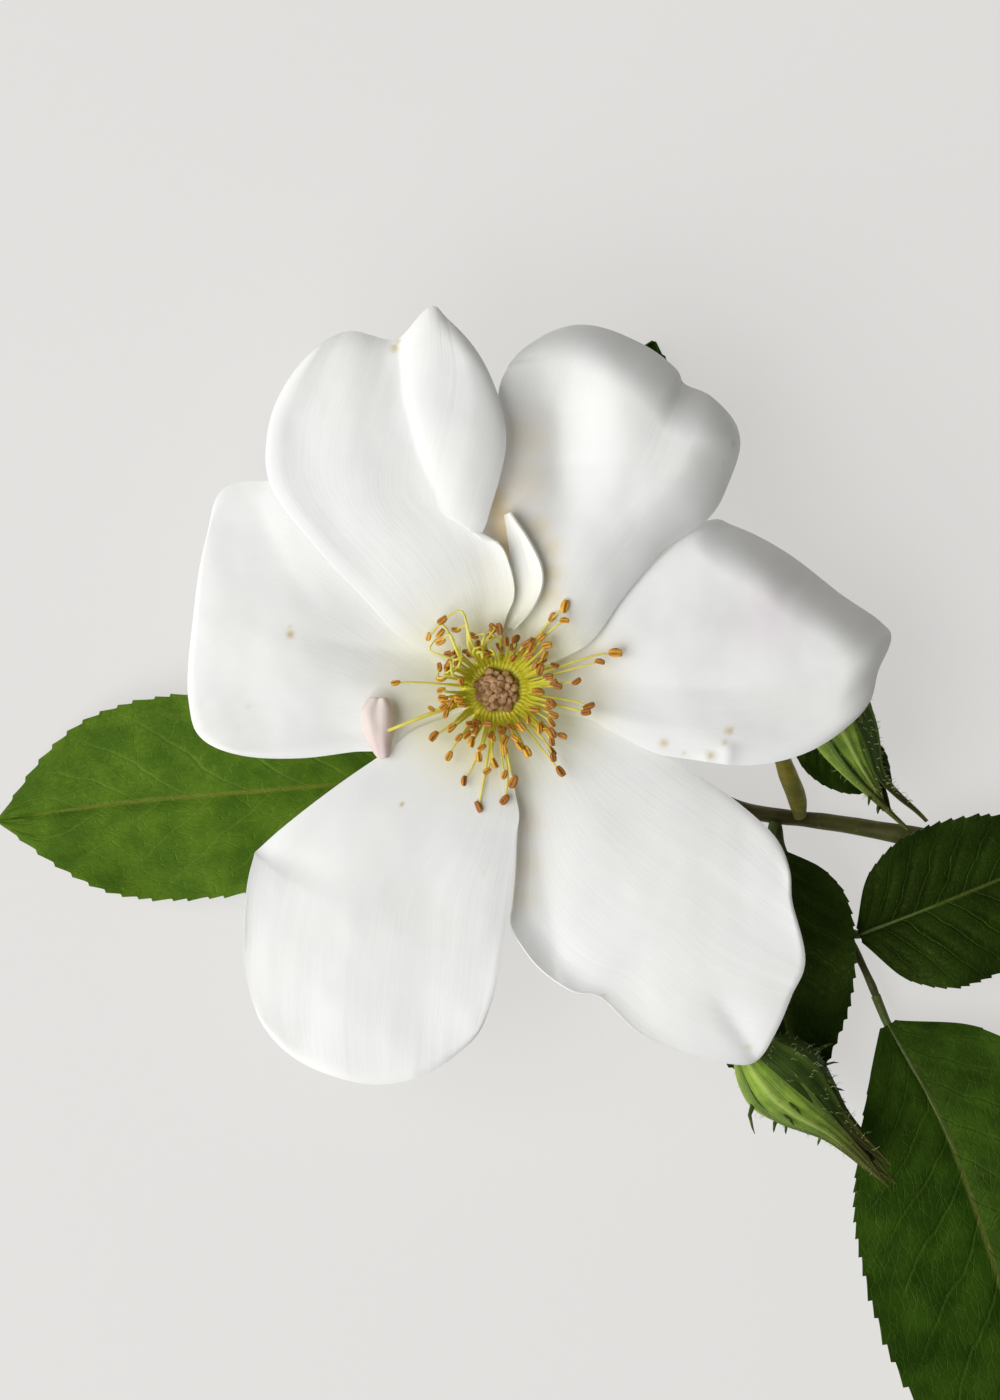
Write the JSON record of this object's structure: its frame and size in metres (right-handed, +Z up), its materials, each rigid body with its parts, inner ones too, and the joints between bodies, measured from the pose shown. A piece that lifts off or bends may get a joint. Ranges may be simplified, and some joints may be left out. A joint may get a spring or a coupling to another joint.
{
  "type": "cut rose",
  "caption": "Cut stem of a white shrub rose lying flat, with an open single flower facing up, closed buds and serrated green leaves.",
  "frame": {"origin": "on the surface that the rose lies on, under the middle of the whole object's box", "axes": "+Z up out of the face of the open flower, +X along the stem towards its cut end, +Y across it"},
  "size_m": [0.1712, 0.1454, 0.0289],
  "materials": {
    "petal": "matt white, faintly translucent",
    "petal_inner": "matt cream white",
    "petaloid": "matt, pinkish cream",
    "stamen": "matt yellow filaments, orange-brown anthers",
    "pistil": "matt pinkish brown",
    "leaf": "satin mid green",
    "dark_leaf": "satin dark green",
    "stem": "smooth brown-olive bark",
    "stalk": "satin yellow-green",
    "sepal": "matt light green, downy",
    "bud_core": "matt greenish white"
  },
  "bodies": {
    "root": {"petal_left": "petal", "petal_lower_left": "petal", "petal_lower_right": "petal", "petal_right": "petal", "petal_upper_right": "petal", "petal_upper_left": "petal", "petal_inner": "petal_inner", "petaloid": "petaloid", "stamens": "stamen", "pistil": "pistil", "stem": "stem", "flower_stalk": "stalk", "flower_sepal_1": "sepal", "flower_sepal_2": "sepal", "flower_sepal_3": "sepal", "flower_sepal_4": "sepal", "flower_sepal_5": "sepal", "bud_1_stalk": "stalk", "bud_1_core": "bud_core", "bud_1_sepal_1": "sepal", "bud_1_sepal_2": "sepal", "bud_1_sepal_3": "sepal", "bud_1_sepal_4": "sepal", "bud_1_sepal_5": "sepal", "bud_2_stalk": "stalk", "bud_2_core": "bud_core", "bud_2_sepal_1": "sepal", "bud_2_sepal_2": "sepal", "bud_2_sepal_3": "sepal", "bud_2_sepal_4": "sepal", "bud_2_sepal_5": "sepal", "leaf_left": "leaf", "leaf_upper": "leaf", "leaf_back": "dark_leaf", "leaf_lower": "dark_leaf", "leaf_right_rachis": "stalk", "leaflet_right": "dark_leaf", "leaflet_left": "dark_leaf", "leaflet_terminal": "dark_leaf"}
  },
  "joints": []
}
